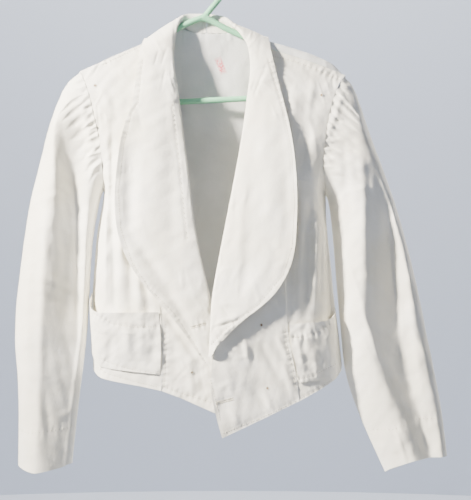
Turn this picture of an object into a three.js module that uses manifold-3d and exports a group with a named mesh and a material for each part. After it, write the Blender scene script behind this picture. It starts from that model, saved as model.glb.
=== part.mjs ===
// A white cotton jacket with a wide shawl collar, hanging open on a tubular plastic hanger.
//
// Millimetres, +Z up, +X to the right as seen from the front, -Y towards the viewer. The origin is the
// top of the hook's inside, where it rests on a rod. Left and right are the wearer's: the left half is
// at +X and laps over the right one. Every piece of cloth is a closed wall.

import * as THREE from 'three';
import { mergeVertices } from 'three/addons/utils/BufferGeometryUtils.js';
import Module from 'manifold-3d';

// Driving sizes
const CLOTH = 1.6; // wall of the body, sleeves and pockets
const COLLAR_CLOTH = 2.2; // two layers with an interlining
const SEAM_GAP = 0.3; // between two pieces that are sewn together
const SETBACK = 1; // how far a wall's inner rim stops short of its outer rim
const TUBE = 10; // diameter of the hanger's tube
const REST_GAP = 1; // between the tube and the cloth that lies on it
const HOOK_RADIUS = 25; // centre line of the hook's bend
const FOLD_RADIUS = 3.6; // collar's rolled edge, to its face
const FOOT = 3; // strip of the collar that lies in line with the neck edge
const FLARE = 0.2; // how fast cloth leaves the vertical below an arm
const POCKET_LIFT = 1.5; // from the front to a pocket where it is sewn down
const EDGE_GAP = 0.9; // sideways, from the collar's seam edge to the front's edge
const ROUNDING = { frameSteps: 64, frameSides: 8, hookSteps: 24, hookSides: 4 }; // facets of the hanger

const WHITE = 0xf4f3ec;
const INSIDE_WHITE = 0xe6e6e0;
const MINT = 0xa8d8b9;

// A table's rows as points or as records with the column names.
const point = ([x, y, z]) => new THREE.Vector3(x, y, z);
const table = (columns, rows) =>
  rows.map((row) => Object.fromEntries(columns.map((name, index) => [name, row[index]])));
const mix = THREE.MathUtils.lerp;
const clamp = THREE.MathUtils.clamp;

// A curve through the points, with counts[i] steps between point i and the next.
function refine(points, counts, closed = false) {
  const curve = new THREE.CatmullRomCurve3(points, closed, 'centripetal');
  const spans = closed ? points.length : points.length - 1;
  const fine = [];
  for (let span = 0; span < spans; span++) {
    for (let step = 0; step < counts[span]; step++) {
      fine.push(curve.getPoint((span + step / counts[span]) / spans));
    }
  }
  if (!closed) fine.push(points[points.length - 1].clone());
  return fine;
}

// A fine grid of points from a few sections that all have the same number of points.
function loft(sections, alongCounts, acrossCounts) {
  const rows = sections.map((section) => refine(section, acrossCounts));
  const columns = rows[0].map((_, index) => refine(rows.map((row) => row[index]), alongCounts));
  return columns[0].map((_, row) => columns.map((column) => column[row]));
}

// The grid's point at a fractional row and column.
function sample(grid, row, column) {
  const r = clamp(Math.floor(row), 0, grid.length - 2);
  const c = clamp(Math.floor(column), 0, grid[0].length - 2);
  const upper = grid[r][c].clone().lerp(grid[r][c + 1], column - c);
  const lower = grid[r + 1][c].clone().lerp(grid[r + 1][c + 1], column - c);
  return upper.lerp(lower, row - r);
}

// The outward normal at each point of a grid, from its neighbours.
function gridNormals(grid, flip) {
  const sheet = new THREE.BufferGeometry().setFromPoints(grid.flat());
  sheet.setIndex(gridFaces(grid.length, grid[0].length, flip).flat());
  sheet.computeVertexNormals();
  const count = grid[0].length;
  return grid.map((line, row) => line.map((_, column) =>
    new THREE.Vector3().fromBufferAttribute(sheet.attributes.normal, row * count + column)));
}

// Triangles between the points of a grid, numbered row by row.
function gridFaces(rowCount, columnCount, flip) {
  const faces = [];
  for (let row = 0; row < rowCount - 1; row++) {
    for (let column = 0; column < columnCount - 1; column++) {
      const a = row * columnCount + column;
      const [b, c, d] = [a + 1, a + columnCount + 1, a + columnCount];
      faces.push(...(flip ? [[a, c, b], [a, d, c]] : [[a, b, c], [a, c, d]]));
    }
  }
  return faces;
}

// One closed wall from an open sheet: the sheet's edges go in by half a seam gap, its points are moved
// in by the thickness for the second face, and a rim joins the two along every open edge.
function wallGeometry(points, faces, thickness) {
  const edgesOf = ([a, b, c]) => [[a, b, c], [b, c, a], [c, a, b]];
  const edges = new Set(faces.flatMap(edgesOf).map(([from, to]) => `${from},${to}`));
  const open = faces.flatMap(edgesOf).filter(([from, to]) => !edges.has(`${to},${from}`));
  const inward = new Map();
  for (const [from, to, opposite] of open) {
    const along = points[to].clone().sub(points[from]).normalize();
    const across = points[opposite].clone().sub(points[from]);
    across.addScaledVector(along, -across.dot(along)).normalize();
    for (const index of [from, to]) {
      inward.set(index, (inward.get(index) ?? new THREE.Vector3()).add(across).normalize());
    }
  }
  const outer = points.map((p, index) =>
    (inward.has(index) ? p.clone().addScaledVector(inward.get(index), SEAM_GAP / 2) : p.clone()));
  const sheet = new THREE.BufferGeometry().setFromPoints(outer);
  sheet.setIndex(faces.flat());
  sheet.computeVertexNormals();
  const second = outer.map((p, index) => {
    const normal = new THREE.Vector3().fromBufferAttribute(sheet.attributes.normal, index);
    const moved = p.clone().addScaledVector(normal, -thickness);
    return inward.has(index) ? moved.addScaledVector(inward.get(index), SETBACK) : moved;
  });
  const count = points.length;
  const rims = open.flatMap(([a, b]) => [[b, a, a + count], [b, a + count, b + count]]);
  const geometry = new THREE.BufferGeometry().setFromPoints([...outer, ...second]);
  const back = faces.map(([a, b, c]) => [a + count, c + count, b + count]);
  geometry.setIndex([...faces, ...back, ...rims].flat());
  return geometry;
}

const gridWall = (grid, thickness, flip) =>
  wallGeometry(grid.flat(), gridFaces(grid.length, grid[0].length, flip), thickness);

const jacket = new THREE.Group();

function addPiece(name, geometry, color, roughness) {
  const piece = new THREE.Mesh(geometry, new THREE.MeshStandardMaterial({ color, roughness, metalness: 0 }));
  piece.name = name;
  jacket.add(piece);
}

// Hanger: centre lines of the arms and of the cross bar, and the hook over them.
const ARM_RIGHT = [
  [-18, -82], [-32, -88], [-50, -96], [-80, -116], [-100, -127.5], [-140, -143], [-176, -161],
];
const ARM_LEFT = [
  [-4, -86], [14, -96], [40, -108], [75, -122], [111, -132.8], [146, -143.8], [156, -148.8],
];
const END_RIGHT = [[-184, -169], [-189, -185], [-182, -204]];
const END_LEFT = [[166, -157], [169, -169], [165, -186]];
const BAR = [[-172, -216], [-60, -210.5], [50, -205], [157, -199]];

const inHangerPlane = ([x, z]) => new THREE.Vector3(x, 0, z);

const reversed = (rows) => [...rows].reverse();
const FRAME = [...ARM_LEFT, ...END_LEFT, ...reversed(BAR), ...reversed(END_RIGHT), ...reversed(ARM_RIGHT)];
const frameCurve = new THREE.CatmullRomCurve3(FRAME.map(inHangerPlane), true, 'centripetal');
const armCurve = new THREE.CatmullRomCurve3([...reversed(ARM_RIGHT), ...ARM_LEFT].map(inHangerPlane));
const ARM_SAMPLES = 120; // points along both arms, for looking up their height
const FRAME_SAMPLES = 400; // points round the frame, for keeping the cloth off it
const armLine = armCurve.getPoints(ARM_SAMPLES);

// The height of an arm's centre line at x, which runs straight on past the arm's ends.
function armHeight(x) {
  let index = 0;
  while (index < armLine.length - 2 && x > armLine[index + 1].x) index++;
  const [from, to] = [armLine[index], armLine[index + 1]];
  return mix(from.z, to.z, (x - from.x) / (to.x - from.x));
}

const hangerLine = frameCurve.getSpacedPoints(FRAME_SAMPLES);

// Moves points of the cloth's outer face away from the hanger where they would come too near.
function offHanger(points) {
  const reach = TUBE / 2 + REST_GAP + CLOTH;
  for (const p of points) {
    let nearest = hangerLine[0];
    for (const other of hangerLine) {
      if (other.distanceToSquared(p) < nearest.distanceToSquared(p)) nearest = other;
    }
    const away = p.clone().sub(nearest);
    if (away.length() < reach) p.copy(nearest).addScaledVector(away.normalize(), reach);
  }
}

async function addHanger() {
  const { frameSteps, frameSides, hookSteps, hookSides } = ROUNDING;
  const frameTube = new THREE.TubeGeometry(frameCurve, frameSteps, TUBE / 2, frameSides, true);
  const hookCentre = TUBE / 2 - HOOK_RADIUS;
  const hookPoints = [[-16, -84], [-7, -73], [4, -60], [15, -45]];
  for (let degrees = -15; degrees <= 195; degrees += 30) {
    const angle = THREE.MathUtils.degToRad(degrees);
    hookPoints.push([HOOK_RADIUS * Math.cos(angle), hookCentre + HOOK_RADIUS * Math.sin(angle)]);
  }
  const section = new THREE.Shape();
  section.absarc(0, 0, TUBE / 2, 0, Math.PI * 2, false);
  const hook = new THREE.ExtrudeGeometry(section, {
    extrudePath: new THREE.CatmullRomCurve3(hookPoints.map(inHangerPlane)),
    steps: hookSteps,
    curveSegments: hookSides,
  });
  const wasm = await Module();
  wasm.setup();
  const solid = (geometry) => {
    geometry.deleteAttribute('normal');
    geometry.deleteAttribute('uv');
    const merged = mergeVertices(geometry, 1e-4);
    return new wasm.Manifold(new wasm.Mesh({
      numProp: 3,
      vertProperties: merged.attributes.position.array,
      triVerts: Uint32Array.from(merged.index.array),
    }));
  };
  const joined = solid(frameTube).add(solid(hook)).getMesh();
  const geometry = new THREE.BufferGeometry();
  geometry.setAttribute('position', new THREE.BufferAttribute(joined.vertProperties, 3));
  geometry.setIndex(new THREE.BufferAttribute(joined.triVerts, 1));
  addPiece('hanger', geometry, MINT, 0.35);
}

// The cloth's outer face over an arm: `along` is the way from the ridge, positive to the front.
function overArm(x, along) {
  const radius = TUBE / 2 + REST_GAP + CLOTH;
  const slope = (armHeight(x + 4) - armHeight(x - 4)) / 8;
  const rise = radius * Math.hypot(1, slope);
  const past = Math.max(0, Math.abs(along) - radius * Math.PI / 2);
  const angle = clamp(along / radius, -Math.PI / 2, Math.PI / 2);
  const y = -radius * Math.sin(angle) - Math.sign(along) * FLARE * past;
  return new THREE.Vector3(x, y, armHeight(x) + rise * Math.cos(angle) - past);
}

// Collar: face points at the neck seam or roll seam, at the fold and at the outer edge. Lean turns the
// fold's plane from flat (front) to upright (centre back), foot does the same for the first strip.
const COLLAR_COLUMNS = ['seam', 'fold', 'edge', 'lean', 'foot'];
const COLLAR_LEFT = table(COLLAR_COLUMNS, [
  [[-9.8, 7.8, -104], [-9.8, 11, -75], [-9.8, 21, -136], 90, 90],
  [[10, 7.8, -105], [8, 10, -77], [34, 20.5, -140], 90, 90],
  [[28.5, 7.2, -103], [22, 5, -82], [70, 18, -133], 75, 70],
  [[37, 0.5, -99.5], [30, -2, -91], [83, 1, -110.5], 60, 25],
  [[47, -8.5, -111], [41, -9, -105], [86, -19, -129], 35, 12],
  [[56, -12, -127], [50, -15, -122], [90, -25, -147], 15, 5],
  [[60, -15, -143], [54.5, -18.5, -140], [95, -28, -168], 0, 0],
  [[60.5, -19, -168], [56, -22.5, -166], [102, -37, -198], 0, 0],
  [[57, -24, -198], [52, -27.5, -196], [109, -45, -226], 0, 0],
  [[50, -31, -255], [45, -34.5, -253], [118, -54, -268], 0, 0],
  [[37, -41, -330], [31.5, -44.5, -330], [125, -61, -335], 0, 0],
  [[22, -50, -405], [17, -53.5, -405], [124, -66, -405], 0, 0],
  [[12, -57, -460], [6.5, -60.5, -460], [117, -70, -456], 0, 0],
  [[4, -62.5, -508], [-1.5, -66, -508], [88, -76, -505], 0, 0],
  [[2, -66, -548], [-3.5, -69.5, -548], [40, -78, -542], 0, 0],
  [[0, -67, -592], [-6, -70.5, -592], [6, -76.5, -578], 0, 0],
]);
const COLLAR_RIGHT = table(COLLAR_COLUMNS, [
  [[-10.2, 7.8, -104], [-10.2, 11, -75], [-10.2, 21, -136], 90, 90],
  [[-31, 7.8, -103], [-30, 10, -74.5], [-60, 20.5, -141], 90, 90],
  [[-45.5, 7, -94.5], [-42.5, 5, -76], [-92, 19, -139], 75, 70],
  [[-53, 0.5, -89], [-47, -2.5, -80], [-105, 1, -112.8], 60, 25],
  [[-59, -8.5, -104], [-53, -9.5, -96], [-112, -21, -145], 35, 12],
  [[-62, -12, -122], [-57, -15, -118], [-115, -26, -166], 15, 5],
  [[-64, -15, -143], [-59, -18.5, -140], [-118, -31, -190], 0, 0],
  [[-62, -20, -168], [-57, -23.5, -166], [-121, -37, -216], 0, 0],
  [[-57, -24, -200], [-52, -27.5, -198], [-131, -43, -242], 0, 0],
  [[-50, -31, -252], [-45, -34.5, -250], [-139, -49, -278], 0, 0],
  [[-40, -39, -330], [-35, -42.5, -330], [-146, -53, -345], 0, 0],
  [[-31.5, -45, -400], [-26.5, -48.5, -400], [-143, -56, -405], 0, 0],
  [[-19, -49, -460], [-14, -52.5, -460], [-122, -60, -460], 0, 0],
  [[-8, -51, -508], [-3, -54.5, -508], [-86, -62, -505], 0, 0],
  [[-3, -51, -550], [2, -54.5, -550], [-47, -61, -552], 0, 0],
  [[2, -50, -612], [7, -53.5, -612], [-9, -58.5, -608], 0, 0],
]);
const COLLAR_STEPS = [1, 2, 1, 2, 3, 2]; // foot, stand, two halves of the roll, two halves of the fall

// One section of a collar half: neck seam, foot, roll, fall and edge. Side is +1 for the left half.
function collarSection(rows, index, side) {
  const { seam, fold, edge, lean, foot } = rows[index];
  const [seamPoint, foldPoint, edgePoint] = [seam, fold, edge].map(point);
  const upAndIn = (degrees) => {
    const angle = THREE.MathUtils.degToRad(degrees);
    return new THREE.Vector3(-side * Math.cos(angle), 0, Math.sin(angle));
  };
  const before = point(rows[Math.max(index - 1, 0)].fold);
  const after = point(rows[Math.min(index + 1, rows.length - 1)].fold);
  const inward = upAndIn(lean);
  const outward = inward.clone().cross(after.sub(before)).normalize();
  if (outward.dot(edgePoint.clone().sub(foldPoint)) < 0) outward.negate();
  const centre = foldPoint.clone().addScaledVector(inward, -FOLD_RADIUS);
  const top = centre.clone().addScaledVector(outward, FOLD_RADIUS);
  const middle = top.clone().lerp(edgePoint, 0.5).addScaledVector(outward, 2);
  return [
    seamPoint,
    seamPoint.clone().addScaledVector(upAndIn(foot), FOOT),
    centre.clone().addScaledVector(outward, -FOLD_RADIUS),
    foldPoint,
    top,
    middle,
    edgePoint,
  ];
}

function collarGrid(rows, side) {
  const sections = rows.map((_, index) => collarSection(rows, index, side));
  return loft(sections, rows.slice(1).map(() => 2), COLLAR_STEPS);
}

// Armholes: one side's seam from the shoulder tip to the underarm, the same in front and back but for y.
const ARMHOLE_COLUMNS = ['x', 'z', 'front', 'back'];
const ARMHOLE_LEFT = table(ARMHOLE_COLUMNS, [
  [200, -170, -2.3, 0],
  [190, -184, -12, 9],
  [181, -206, -21, 17],
  [173, -238, -28, 22],
  [167, -278, -32, 26],
  [166, -316, -29, 24],
  [169, -342, -16, 14],
  [171, -354, 0, 0],
]);
const ARMHOLE_RIGHT = table(ARMHOLE_COLUMNS, [
  [-202, -164, -2.3, 0],
  [-195, -178, -12, 9],
  [-187, -200, -21, 17],
  [-179, -232, -28, 22],
  [-170, -272, -32, 26],
  [-166, -310, -29, 24],
  [-165, -335, -16, 14],
  [-165, -346, 0, 0],
]);

// The seam of one armhole, 0 at the shoulder tip and 1 at the underarm, on its front or back half.
function armholePoint(rows, half, fraction) {
  const curve = new THREE.CatmullRomCurve3(rows.map((row) => new THREE.Vector3(row.x, row[half], row.z)));
  return curve.getPoint(clamp(fraction, 0, 1));
}

// Side seams, from just below the underarm to the hem.
const SIDE_SEAM = table(['z', 'rightX', 'leftX', 'y'], [
  [-374, -169, 171.5, 0],
  [-398, -175, 172, 0],
  [-464, -181, 179.5, 3],
  [-515, -184, 184, 3],
  [-560, -184, 190, 3],
  [-592, -183, 193, 3],
  [-618, -182, 195, 3],
]);

// Fronts: outer face of each half by rows. Edge is a height on the collar's seam, or below the collar a
// point on the front edge. Princess is the seam between the two panels, turn the bend to the side.
// Armhole is a place on that seam, and rows below it end on the side seam, one row each.
const FRONT_COLUMNS = ['edge', 'princess', 'turn', 'armhole'];
const FRONT_LEFT = table(FRONT_COLUMNS, [
  [-146, [84, -18, -157], [150, -17, -178], 0.13],
  [-172, [92, -25, -182], [148, -27, -204], 0.3],
  [-212, [98, -34, -224], [146, -36, -238], 0.45],
  [-268, [103, -42, -278], [146, -41, -282], 0.62],
  [-330, [106, -48, -328], [148, -41, -324], 0.8],
  [-378, [108, -51, -365], [152, -39, -352], 1],
  [-405, [109, -52, -390], [157, -38, -376], null],
  [-430, [109, -53, -414], [164, -37, -402], null],
  [-488, [108, -56, -480], [163, -38, -470], null],
  [-548, [110, -57, -532], [161, -39, -521], null],
  [-592, [114, -55, -574], [166, -38, -565], null],
  [[-4, -67, -640], [122, -52, -612], [173, -34, -596], null],
  [[14, -62, -714], [129, -48, -660], [180, -30, -632], null],
]);
const FRONT_RIGHT = table(FRONT_COLUMNS, [
  [-143, [-88, -18, -153], [-150, -17, -172], 0.13],
  [-168, [-92, -25, -180], [-152, -26, -200], 0.3],
  [-207, [-96, -33, -220], [-152, -35, -236], 0.45],
  [-264, [-98, -40, -270], [-151, -40, -278], 0.62],
  [-324, [-99, -45, -322], [-151, -41, -318], 0.8],
  [-372, [-97, -48, -364], [-152, -39, -350], 1],
  [-398, [-95, -49, -388], [-154, -38, -376], null],
  [-424, [-93, -50, -412], [-157, -37, -402], null],
  [-484, [-84, -51, -478], [-162, -37, -468], null],
  [-545, [-77, -52, -532], [-165, -38, -519], null],
  [-611, [-74, -51, -577], [-166, -37, -564], null],
  [[8, -50.5, -636], [-75, -49, -610], [-166, -35, -596], null],
  [[13, -50, -682], [-77, -47, -645], [-165, -33, -628], null],
]);
const FRONT_ACROSS = [5, 3, 4];
const SHOULDER_SEAM = { left: 17, right: 5 }; // how far in front of the ridge the seam lies

// The collar's seam edge at a height, moved to the front's outer face.
function rollEdge(collar, side, z) {
  const seam = collar.map((line) => line[0]);
  let index = 8;
  while (index < seam.length - 2 && seam[index + 1].z > z) index++;
  const [from, to] = [seam[index], seam[index + 1]];
  const edge = from.clone().lerp(to, clamp((from.z - z) / (from.z - to.z), 0, 1));
  return edge.add(new THREE.Vector3(side * EDGE_GAP, -CLOTH, 0));
}

// A front half as one grid. Its first rows lie round the arm, from the neck edge to the shoulder tip.
function frontGrid({ rows, armhole, collar, seamAlong, neckX, princessX, turnX, side }) {
  const overRow = (neck, along, place) => [
    overArm(neck, along),
    overArm(princessX, along),
    overArm(turnX, along),
    armholePoint(armhole, 'front', place),
  ];
  const seamX = side > 0 ? 'leftX' : 'rightX';
  const below = SIDE_SEAM.map((row) => new THREE.Vector3(row[seamX], row.y, row.z));
  const firstBelow = rows.findIndex((row) => row.armhole === null);
  const sections = [
    overRow(neckX[0], seamAlong, 0),
    overRow(neckX[1], seamAlong + 5, 0.025),
    overRow(neckX[2], seamAlong + 9.5, 0.05),
    ...rows.map((row, index) => [
      typeof row.edge === 'number' ? rollEdge(collar, side, row.edge) : point(row.edge),
      point(row.princess),
      point(row.turn),
      row.armhole === null ? below[index - firstBelow] : armholePoint(armhole, 'front', row.armhole),
    ]),
  ];
  const isShort = (index) => index === firstBelow || index === firstBelow + 1;
  const down = [1, 1, ...rows.map((_, index) => (isShort(index) ? 1 : 2))];
  const grid = loft(sections, down, FRONT_ACROSS);
  offHanger(grid.flat());
  return grid;
}

// Soft folds that the front shows: a crest or trough down a line, out along the grid's normals.
const FOLD_COLUMNS = ['topX', 'topZ', 'lowX', 'lowZ', 'width', 'depth'];
const FOLDS_LEFT = table(FOLD_COLUMNS, [
  [148, -330, 140, -540, 11, 5],
  [118, -400, 128, -545, 12, -4],
  [60, -560, 90, -690, 16, -3],
]);
const FOLDS_RIGHT = table(FOLD_COLUMNS, [
  [-150, -380, -150, -520, 10, 5],
  [-128, -400, -126, -525, 12, -4],
  [-104, -440, -104, -525, 10, 4],
]);

function foldGrid(grid, folds, flip) {
  const normals = gridNormals(grid, flip);
  grid.forEach((line, row) => line.forEach((p, column) => {
    const onSeam = column === 0 || column === line.length - 1 || column === FRONT_ACROSS[0];
    for (const fold of onSeam ? [] : folds) {
      const down = clamp((p.z - fold.topZ) / (fold.lowZ - fold.topZ), 0, 1);
      const across = (p.x - mix(fold.topX, fold.lowX, down)) / fold.width;
      const reach = Math.sin(Math.PI * down) * Math.exp(-across * across);
      p.addScaledVector(normals[row][column], fold.depth * reach);
    }
  }));
  return grid;
}

function addFront(side, grid) {
  const flip = side === 'left';
  const seamColumn = FRONT_ACROSS[0];
  const centre = grid.map((line) => line.slice(0, seamColumn + 1));
  const sidePanel = grid.map((line) => line.slice(seamColumn));
  addPiece(`front_centre_${side}`, gridWall(centre, CLOTH, flip), WHITE, 0.9);
  addPiece(`front_side_${side}`, gridWall(sidePanel, CLOTH, flip), WHITE, 0.9);
}

// Back: its top edge runs along both shoulder seams and the neck seam. Below the arms each row is a
// section from one side seam to the other, and its armhole column is the place on the armhole seam.
const BACK = table(['z', 'depth', 'armhole'], [
  [-136, 15, 0.11],
  [-164, 20, 0.2],
  [-200, 25, 0.33],
  [-242, 29, 0.48],
  [-284, 32, 0.63],
  [-322, 33, 0.8],
  [-350, 33, 1],
  [-374, 33, null],
  [-398, 32, null],
  [-464, 31, null],
  [-515, 31, null],
  [-560, 30, null],
  [-592, 30, null],
  [-618, 29, null],
]);
const BACK_HEM_DROP = 8; // how far the hem's middle hangs below the side seams
// Keypoints of every row: the share of the row's width, and x on the arm in the rows over the arms.
const BACK_KEYS = table(['share', 'armX', 'steps'], [
  [0, -202, 1],
  [0.015, -188, 3],
  [0.05, -150, 3],
  [0.2, -86, 3],
  [0.3, -56, 1],
  [0.345, -53, 2],
  [0.39, null, 1],
  [0.44, null, 1],
  [0.49, null, 1],
  [0.54, null, 1],
  [0.59, null, 1],
  [0.635, 37, 4],
  [0.69, 56, 3],
  [0.79, 80, 3],
  [0.95, 150, 3],
  [0.985, 187, 1],
  [1, 200, 0],
]);
const NECK_KEYS = [6, 10]; // first and last keypoint on the neck seam behind the arms
const NECK_SEAM = [
  [-45.5, 10.4, -96], [-31, 10.5, -103.5], [-10, 9.5, -104], [10, 9.4, -105], [28.5, 8.8, -103],
];
const SHOULDER_GAP = 0.4; // backwards, from the fronts' top edge to the back's
const TIP_FROM = 180; // beyond this x the shoulder seam comes back towards the ridge
const TIP_SHARE = 0.65; // how much of its way in front of the ridge it keeps there
const OVER_ROWS = 6; // rows from the shoulder seam over the ridge
const BEHIND_ARM = -13; // where the last of them lies, as a way from the ridge

function backTopPoint(key, index, row) {
  const down = row / (OVER_ROWS - 1);
  if (index >= NECK_KEYS[0] && index <= NECK_KEYS[1]) {
    return point(NECK_SEAM[index - NECK_KEYS[0]]).add(new THREE.Vector3(0, 1.5 * down, -12 * down));
  }
  if (index === 0 || index === BACK_KEYS.length - 1) {
    return armholePoint(index === 0 ? ARMHOLE_RIGHT : ARMHOLE_LEFT, 'back', 0.06 * down);
  }
  const atRidge = index === NECK_KEYS[0] - 1 || index === NECK_KEYS[1] + 1;
  const seam = key.armX < 0 ? SHOULDER_SEAM.right : SHOULDER_SEAM.left;
  const kept = Math.abs(key.armX) > TIP_FROM ? TIP_SHARE : 1;
  return overArm(key.armX, mix(atRidge ? -1 : seam * kept, BEHIND_ARM, down));
}

function backRowPoint(key, row, index) {
  const seamRow = SIDE_SEAM[index - BACK.findIndex((other) => other.armhole === null)];
  const atSide = (armhole, name) => (row.armhole === null
    ? new THREE.Vector3(seamRow[name], seamRow.y, seamRow.z)
    : armholePoint(armhole, 'back', row.armhole));
  const side = atSide(ARMHOLE_RIGHT, 'rightX').lerp(atSide(ARMHOLE_LEFT, 'leftX'), key.share);
  const fromMiddle = Math.abs(2 * key.share - 1);
  const roundness = Math.pow(1 - Math.pow(fromMiddle, 5), 0.4);
  const hemDrop = index === BACK.length - 1 ? BACK_HEM_DROP * (1 - fromMiddle * fromMiddle) : 0;
  const z = mix(row.z, side.z, Math.pow(fromMiddle, 1.5)) - hemDrop;
  return new THREE.Vector3(side.x, mix(side.y, row.depth, roundness), z);
}

// The point of a front's top row at x, moved behind the shoulder seam.
function shoulderPoint(row, x) {
  const ordered = row[0].x < row[row.length - 1].x ? row : [...row].reverse();
  let index = 0;
  while (index < ordered.length - 2 && x > ordered[index + 1].x) index++;
  const [from, to] = [ordered[index], ordered[index + 1]];
  const p = from.clone().lerp(to, clamp((x - from.x) / (to.x - from.x), 0, 1));
  return p.add(new THREE.Vector3(0, SHOULDER_GAP, 0));
}

function backGrid(frontRows) {
  const over = Array.from({ length: OVER_ROWS }, (_, row) =>
    BACK_KEYS.map((key, index) => backTopPoint(key, index, row)));
  const below = BACK.map((row, index) => BACK_KEYS.map((key) => backRowPoint(key, row, index)));
  const isShort = (index) => index === 6 || index === 7;
  const down = [...over.map(() => 1), ...BACK.slice(1).map((_, index) => (isShort(index) ? 1 : 2))];
  const grid = loft([...over, ...below], down, BACK_KEYS.slice(0, -1).map((key) => key.steps));
  offHanger(grid.flat());
  const top = grid[0];
  for (const row of frontRows) {
    const [least, most] = [Math.min(...row.map((p) => p.x)), Math.max(...row.map((p) => p.x))];
    top.filter((p) => p.x > least && p.x < most).forEach((p) => p.copy(shoulderPoint(row, p.x)));
  }
  const shared = FRONT_ACROSS[1] + FRONT_ACROSS[2];
  const beside = new THREE.Vector3(0, SHOULDER_GAP, 0);
  for (let step = 1; step <= shared; step++) {
    top[step].copy(frontRows[1].at(-1 - step)).add(beside);
    top.at(-1 - step).copy(frontRows[0].at(-1 - step)).add(beside);
    grid[1][step].copy(top[step]).lerp(grid[2][step], 0.5);
    grid[1].at(-1 - step).copy(top.at(-1 - step)).lerp(grid[2].at(-1 - step), 0.5);
  }
  offHanger(grid[1]);
  return grid;
}

// Sleeves: sections by height. Outer is the edge away from the body, then round the front by a crest, a
// trough and a rise to the inner edge, and back round behind. The crest and rise point to the viewer.
const SLEEVE_COLUMNS = [
  'z', 'outer', 'crest', 'crestY', 'trough', 'troughY', 'rise', 'riseY', 'inner', 'backY',
];
const SLEEVE_LEFT = table(SLEEVE_COLUMNS, [
  [-165, 208, 200, -12, 190, -16, 180, -20, 172, 14],
  [-190, 216, 209, -17, 199, -24, 187, -29, 172, 19],
  [-250, 235, 228, -20, 217, -33, 200, -38, 169, 26],
  [-310, 257, 250, -22, 238, -31, 220, -42, 168, 30],
  [-360, 275, 266, -23, 254, -23, 221, -46, 174, 31],
  [-430, 295, 285, -25, 266, -17, 221, -47, 181, 30],
  [-500, 312, 300, -25, 268, -15, 221, -46, 186.5, 28],
  [-560, 324, 311, -25, 272, -15, 229, -45, 192, 26],
  [-620, 336, 323, -24, 286, -16, 244, -42, 197.5, 24],
  [-680, 347, 337, -23, 308, -17, 270, -38, 217.5, 22],
  [-780, 358, 351, -20, 336, -15, 310, -31, 263, 19],
]);
const SLEEVE_RIGHT = table(SLEEVE_COLUMNS, [
  [-160, -215, -207, -12, -198, -15, -188, -18, -176, 14],
  [-190, -229, -220, -19, -206, -20, -192, -24, -174, 19],
  [-250, -250, -239, -31, -214, -19, -192, -29, -168, 26],
  [-310, -266, -238, -38, -212, -16, -186, -28, -166, 30],
  [-360, -280, -239, -42, -207, -15, -186, -26, -172, 30],
  [-420, -289, -248, -44, -204, -15, -191, -24, -182, 28],
  [-480, -297, -255, -44, -204, -16, -193, -22, -186.5, 27],
  [-560, -304, -266, -42, -206, -18, -197, -20, -191, 25],
  [-640, -297, -268, -38, -216, -18, -207, -16, -200.5, 23],
  [-700, -297, -268, -36, -223, -18, -214, -14, -207.5, 21],
  [-780, -298, -269, -34, -230, -17, -222, -12, -215.5, 19],
]);
const CUFF_LEFT = [-746, -747, -748, -752, -773, -768, -750]; // hem heights at the seven keypoints
const CUFF_RIGHT = [-760, -771, -763, -759, -758, -758, -759];
const SLEEVE_STEPS = [3, 4, 4, 3, 3, 4, 3];
const GATHER_STEPS = [3, 16, 16, 3, 3, 16, 3]; // the same spans beside the armhole seam, where it is gathered
const GATHER_DEPTH = 1.5; // how far the gathers stand out and in
const FREE_AFTER = { crown: 24, edges: 70 }; // way down from the seam to the sleeve's own section
const UNDERARM = 4; // keypoint where the front of the ring ends and its back begins
const GATHER_ROWS = [0, 0.012, 0.034]; // share of the way down, for the rows with gathers
const SLEEVE_ROWS = [
  0.07, 0.11, 0.155, 0.205, 0.26, 0.32, 0.385, 0.455, 0.53, 0.61, 0.69, 0.77, 0.85, 0.93, 1,
];

// A column of a table at a height, on a smooth curve through its rows.
function follow(rows, name, z) {
  let index = 0;
  while (index < rows.length - 2 && z < rows[index + 1].z) index++;
  const at = (i) => rows[clamp(i, 0, rows.length - 1)];
  const slope = (i) => (at(i + 1)[name] - at(i - 1)[name]) / (at(i + 1).z - at(i - 1).z);
  const [low, high] = [at(index), at(index + 1)];
  const span = high.z - low.z;
  const t = clamp((z - low.z) / span, 0, 1);
  const [t2, t3] = [t * t, t * t * t];
  return (2 * t3 - 3 * t2 + 1) * low[name] + (t3 - 2 * t2 + t) * span * slope(index)
    + (3 * t2 - 2 * t3) * high[name] + (t3 - t2) * span * slope(index + 1);
}

// The sleeve's section at a height: the point at a place round it, in keypoints from the outer edge.
function sleevePoint(rows, z, place) {
  const value = (name) => follow(rows, name, z);
  const [outer, inner, backY] = [value('outer'), value('inner'), value('backY')];
  const keys = [
    [outer, 2],
    [value('crest'), value('crestY')],
    [value('trough'), value('troughY')],
    [value('rise'), value('riseY')],
    [inner, 0],
    [mix(inner, outer, 0.22), backY * 0.85],
    [mix(inner, outer, 0.72), backY],
  ].map(([x, y]) => new THREE.Vector3(x, y, z));
  return new THREE.CatmullRomCurve3(keys, true, 'centripetal').getPoint(place / keys.length);
}

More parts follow.
